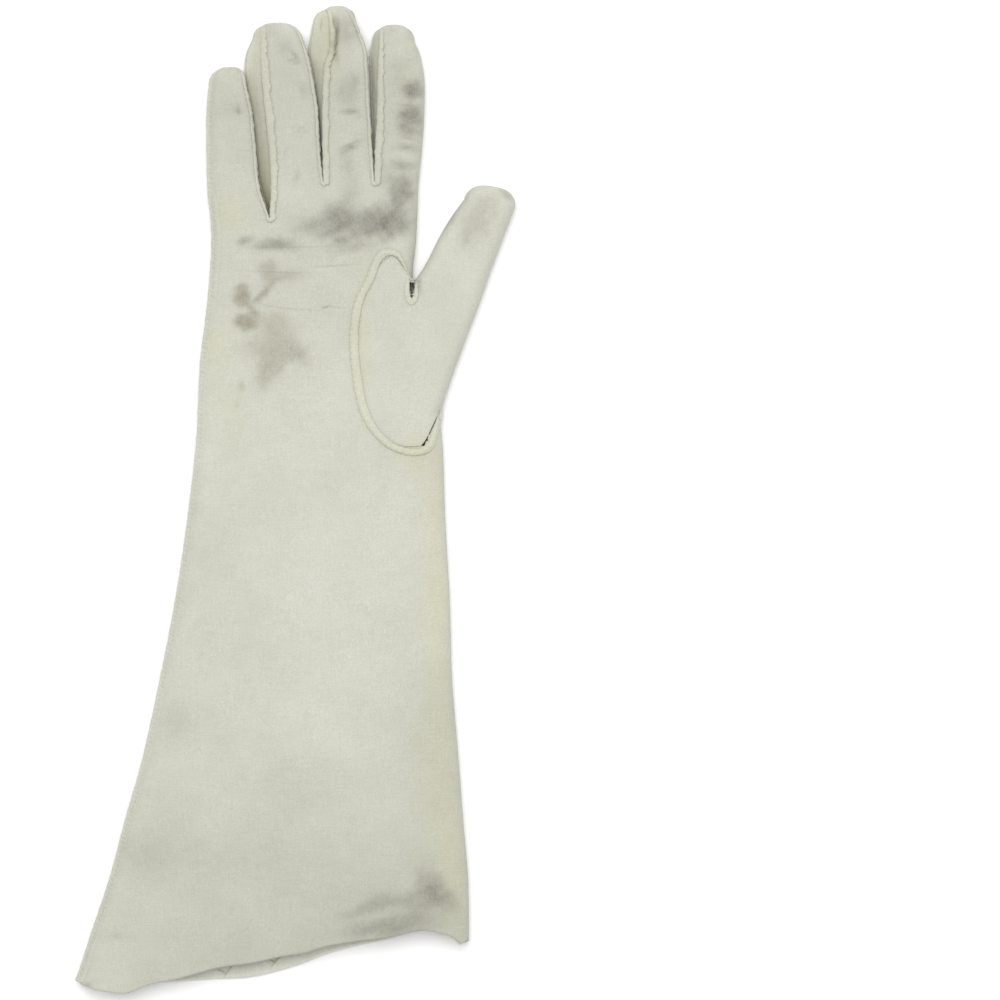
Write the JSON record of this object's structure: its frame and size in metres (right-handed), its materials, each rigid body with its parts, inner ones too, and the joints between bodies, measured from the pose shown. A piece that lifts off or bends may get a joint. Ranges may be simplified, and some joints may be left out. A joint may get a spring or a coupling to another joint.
{
  "type": "long cotton dress glove",
  "caption": "Long right-hand cotton dress glove lying palm up: flared cuff with a turned hem, gusseted fingers, a thumb set into an oval and fine raised seams; hollow and open at the mouth.",
  "frame": {"origin": "under the middle of the outline, on the surface that the back of the hand lies on", "axes": "+X from the little finger to the thumb, +Y to the fingertips, +Z out of the palm"},
  "size_m": [0.1766, 0.3951, 0.0102],
  "materials": {
    "cloth": "matt, fine woven cotton, off-white",
    "seam_cloth": "matt, folded and stitched edge",
    "hem_cloth": "matt, turned in and slip stitched",
    "fourchette_cloth": "matt, slightly soiled"
  },
  "bodies": {
    "root": {"trank": "cloth", "thumb": "cloth", "thumb_seam": "seam_cloth", "quirk_seam": "seam_cloth", "side_seam": "seam_cloth", "hem": "hem_cloth", "fourchette_little_ring": "fourchette_cloth", "fourchette_ring_middle": "fourchette_cloth", "fourchette_middle_index": "fourchette_cloth", "palm_seam_little_ring": "seam_cloth", "palm_seam_ring_middle": "seam_cloth", "palm_seam_middle_index": "seam_cloth", "back_seam_little_ring": "seam_cloth", "back_seam_ring_middle": "seam_cloth", "back_seam_middle_index": "seam_cloth"}
  },
  "joints": []
}
